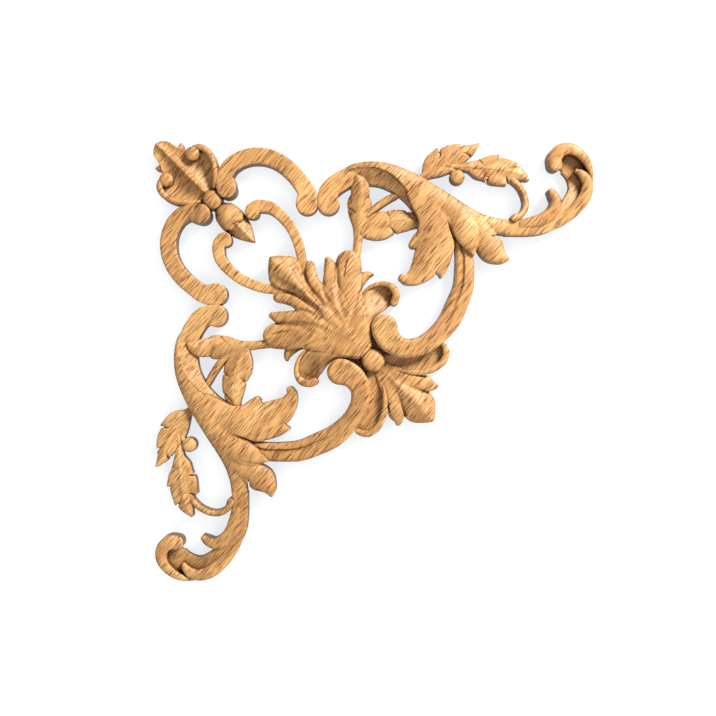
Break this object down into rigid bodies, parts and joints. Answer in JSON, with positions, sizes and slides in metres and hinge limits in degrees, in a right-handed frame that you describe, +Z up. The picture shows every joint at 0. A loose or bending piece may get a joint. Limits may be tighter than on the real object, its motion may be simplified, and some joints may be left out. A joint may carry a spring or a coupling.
{
  "type": "corner onlay",
  "caption": "Pierced carved wood corner ornament of scrolls, acanthus and small leaves, with a flat back, fixed on a panel, frame or furniture corner.",
  "frame": {"origin": "on the flat back, behind the centre bead, on the axis of symmetry", "axes": "+Y out of the flat back, into the surface it is fixed to; -Y is the carved front; +Z up and +X to the right as seen from the front, along the two legs"},
  "size_m": [0.2193, 0.0138, 0.2193],
  "materials": {
    "oak": "satin"
  },
  "bodies": {
    "root": {"onlay": "oak"}
  },
  "joints": []
}
